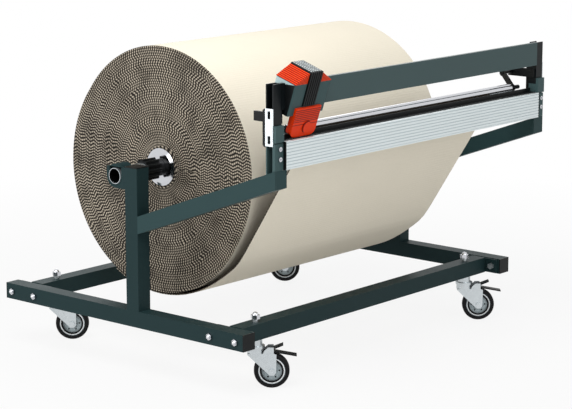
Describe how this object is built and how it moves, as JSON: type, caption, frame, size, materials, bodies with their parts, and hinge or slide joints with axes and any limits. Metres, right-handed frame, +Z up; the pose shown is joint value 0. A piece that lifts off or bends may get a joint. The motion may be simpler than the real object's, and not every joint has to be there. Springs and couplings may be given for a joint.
{
  "type": "roll stand with board cutter",
  "caption": "Mobile stand on castors that holds a wide roll of corrugated wrapping board, with a sliding knife carriage on a rail at the front.",
  "frame": {"origin": "bottom centre of the whole object's box, on the floor under the tyres", "axes": "+Z up; +X along the roll, away from the end where the knife carriage is parked; -Y towards the operator and the cutting profile"},
  "size_m": [1.3678, 1.1799, 0.9875],
  "materials": {
    "frame_paint": "satin, dark blue green",
    "grey_paint": "satin, blue grey",
    "chrome": "polished",
    "zinc": "zinc plated",
    "black_plastic": "satin",
    "black_steel": "satin black",
    "aluminium": "anodised",
    "grey_plastic": "satin",
    "orange_plastic": "satin",
    "knife_steel": "ground",
    "tyre_rubber": "matt",
    "board": "matt, cream liner and brown flutes"
  },
  "bodies": {
    "frame": {"side_rail_left": "frame_paint", "side_rail_right": "frame_paint", "post_left": "frame_paint", "post_right": "frame_paint", "arm_left": "frame_paint", "arm_right": "frame_paint", "upright_left": "grey_paint", "upright_right": "grey_paint", "cross_rail_front": "frame_paint", "cross_rail_rear": "frame_paint", "frame_bolts": "zinc", "cap_nuts": "chrome", "tube_caps": "black_plastic", "castor_stems": "zinc", "shaft_cradles": "frame_paint", "upper_bar": "grey_paint", "face_plates": "grey_paint", "socket_screws": "chrome", "slotted_straps": "zinc", "lever_housings": "black_plastic", "front_profile": "aluminium", "profile_end_caps": "black_plastic", "cutting_strip": "black_plastic", "pivot_brackets": "black_plastic", "board_web": "board", "loose_wraps": "board"},
    "roll": {"shaft_tube": "zinc", "cone_left": "chrome", "cone_right": "chrome", "hand_nut_left": "black_plastic", "hand_nut_right": "black_plastic", "roll_core": "board", "board_roll": "board"},
    "roller_yoke": {"roller_levers": "black_steel"},
    "roller": {"pressure_roller": "chrome", "roller_bushes": "black_plastic"},
    "carriage": {"carriage_body": "grey_plastic", "carriage_roof": "orange_plastic", "grip_band": "black_plastic", "guide_pads": "black_plastic", "knife_guard": "orange_plastic", "blade_cover": "orange_plastic"},
    "blade": {"round_blade": "knife_steel"},
    "button": {"release_button": "orange_plastic"},
    "castor_front_left": {"castor_fork_front_left": "zinc"},
    "wheel_front_left": {"wheel_hub_front_left": "grey_plastic", "tyre_front_left": "tyre_rubber"},
    "lock_front_left": {"lock_pedal_front_left": "black_plastic"},
    "release_front_left": {"release_pedal_front_left": "black_plastic"},
    "castor_front_right": {"castor_fork_front_right": "zinc"},
    "wheel_front_right": {"wheel_hub_front_right": "grey_plastic", "tyre_front_right": "tyre_rubber"},
    "lock_front_right": {"lock_pedal_front_right": "black_plastic"},
    "release_front_right": {"release_pedal_front_right": "black_plastic"},
    "castor_rear_left": {"castor_fork_rear_left": "zinc"},
    "wheel_rear_left": {"wheel_hub_rear_left": "grey_plastic", "tyre_rear_left": "tyre_rubber"},
    "castor_rear_right": {"castor_fork_rear_right": "zinc"},
    "wheel_rear_right": {"wheel_hub_rear_right": "grey_plastic", "tyre_rear_right": "tyre_rubber"}
  },
  "joints": [
    {"name": "roll_spin", "type": "hinge", "parent": "frame", "child": "roll", "pos_m": [0, 0.08875, 0.605], "axis": [1, 0, 0], "continuous": true},
    {"name": "carriage_slide", "type": "slide", "parent": "frame", "child": "carriage", "axis": [1, 0, 0], "range_m": [0, 1.088]},
    {"name": "blade_spin", "type": "hinge", "parent": "carriage", "child": "blade", "pos_m": [-0.535, -0.52705, 0.79742], "axis": [0, 1, 0], "continuous": true},
    {"name": "button_press", "type": "slide", "parent": "carriage", "child": "button", "axis": [0, 0.9483, 0.3173], "range_m": [0, 0.003], "stiffness_N_per_m": 400, "springref_m": -0.001},
    {"name": "roller_swing", "type": "hinge", "parent": "frame", "child": "roller_yoke", "pos_m": [0, -0.44505, 0.83512], "axis": [1, 0, 0], "range_deg": [0, 50]},
    {"name": "roller_spin", "type": "hinge", "parent": "roller_yoke", "child": "roller", "pos_m": [0, -0.48305, 0.78912], "axis": [1, 0, 0], "continuous": true},
    {"name": "swivel_front_left", "type": "hinge", "parent": "frame", "child": "castor_front_left", "pos_m": [-0.527, -0.34005, 0.122], "axis": [0, 0, 1], "continuous": true},
    {"name": "wheel_spin_front_left", "type": "hinge", "parent": "castor_front_left", "child": "wheel_front_left", "pos_m": [-0.49551, -0.37628, 0.053], "axis": [0.7547, 0.6561, 0], "continuous": true},
    {"name": "lock_front_left", "type": "hinge", "parent": "castor_front_left", "child": "lock_front_left", "pos_m": [-0.50469, -0.36571, 0.111], "axis": [-0.7547, -0.6561, 0], "range_deg": [0, 8]},
    {"name": "release_front_left", "type": "hinge", "parent": "castor_front_left", "child": "release_front_left", "pos_m": [-0.49748, -0.37401, 0.119], "axis": [-0.7547, -0.6561, 0], "range_deg": [-8, 0]},
    {"name": "swivel_front_right", "type": "hinge", "parent": "frame", "child": "castor_front_right", "pos_m": [0.527, -0.34005, 0.122], "axis": [0, 0, 1], "continuous": true},
    {"name": "wheel_spin_front_right", "type": "hinge", "parent": "castor_front_right", "child": "wheel_front_right", "pos_m": [0.55849, -0.37628, 0.053], "axis": [0.7547, 0.6561, 0], "continuous": true},
    {"name": "lock_front_right", "type": "hinge", "parent": "castor_front_right", "child": "lock_front_right", "pos_m": [0.54931, -0.36571, 0.111], "axis": [-0.7547, -0.6561, 0], "range_deg": [0, 8]},
    {"name": "release_front_right", "type": "hinge", "parent": "castor_front_right", "child": "release_front_right", "pos_m": [0.55652, -0.37401, 0.119], "axis": [-0.7547, -0.6561, 0], "range_deg": [-8, 0]},
    {"name": "swivel_rear_left", "type": "hinge", "parent": "frame", "child": "castor_rear_left", "pos_m": [-0.527, 0.50995, 0.122], "axis": [0, 0, 1], "continuous": true},
    {"name": "wheel_spin_rear_left", "type": "hinge", "parent": "castor_rear_left", "child": "wheel_rear_left", "pos_m": [-0.49551, 0.47372, 0.053], "axis": [0.7547, 0.6561, 0], "continuous": true},
    {"name": "swivel_rear_right", "type": "hinge", "parent": "frame", "child": "castor_rear_right", "pos_m": [0.527, 0.50995, 0.122], "axis": [0, 0, 1], "continuous": true},
    {"name": "wheel_spin_rear_right", "type": "hinge", "parent": "castor_rear_right", "child": "wheel_rear_right", "pos_m": [0.55849, 0.47372, 0.053], "axis": [0.7547, 0.6561, 0], "continuous": true}
  ],
  "couplings": [
    {"joint": "release_front_left", "follows": "lock_front_left", "ratio": -1},
    {"joint": "release_front_right", "follows": "lock_front_right", "ratio": -1}
  ]
}
